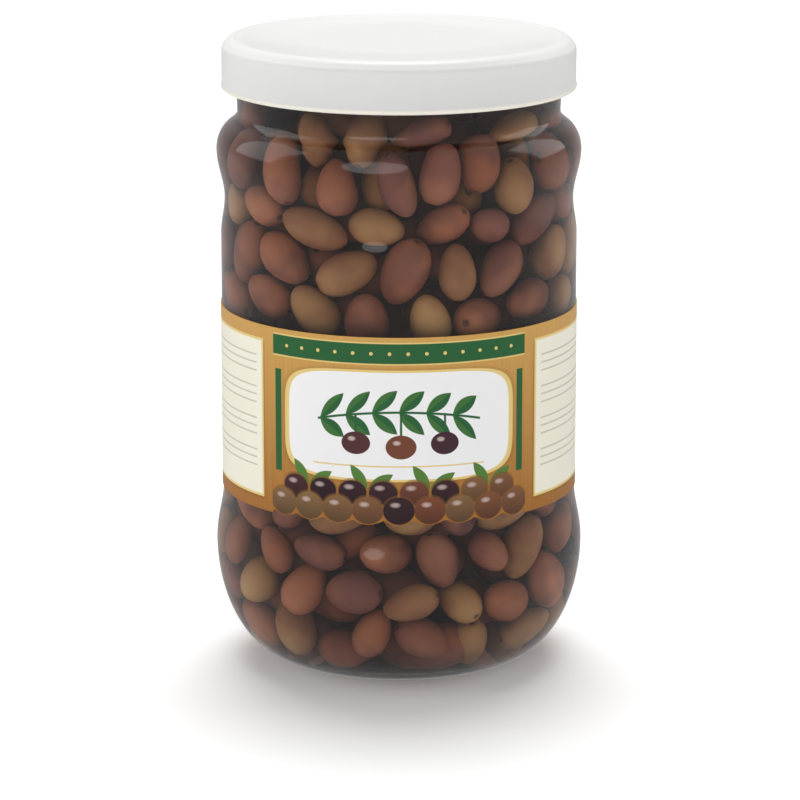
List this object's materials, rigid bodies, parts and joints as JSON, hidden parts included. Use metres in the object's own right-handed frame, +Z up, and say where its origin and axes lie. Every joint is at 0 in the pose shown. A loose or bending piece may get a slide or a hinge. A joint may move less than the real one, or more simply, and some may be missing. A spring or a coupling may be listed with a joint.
{
  "type": "jar of olives",
  "caption": "Clear glass jar of mixed brown and purple olives in brine, with a white twist-off lid and a wrapped paper label.",
  "frame": {"origin": "centre of the flat ring that the jar stands on", "axes": "+Z up along the jar's axis, -Y towards the front of the label, +X to the right of the label seen from the front"},
  "size_m": [0.1068, 0.1068, 0.1812],
  "materials": {
    "glass": "clear polished glass",
    "lid_enamel": "white gloss enamel",
    "label_paper": "printed paper, golden brown with cream and green fields",
    "olive_skin": "moist brown to purple olive skin"
  },
  "bodies": {
    "root": {"jar": "glass", "lid": "lid_enamel", "label": "label_paper", "olives": "olive_skin"}
  },
  "joints": []
}
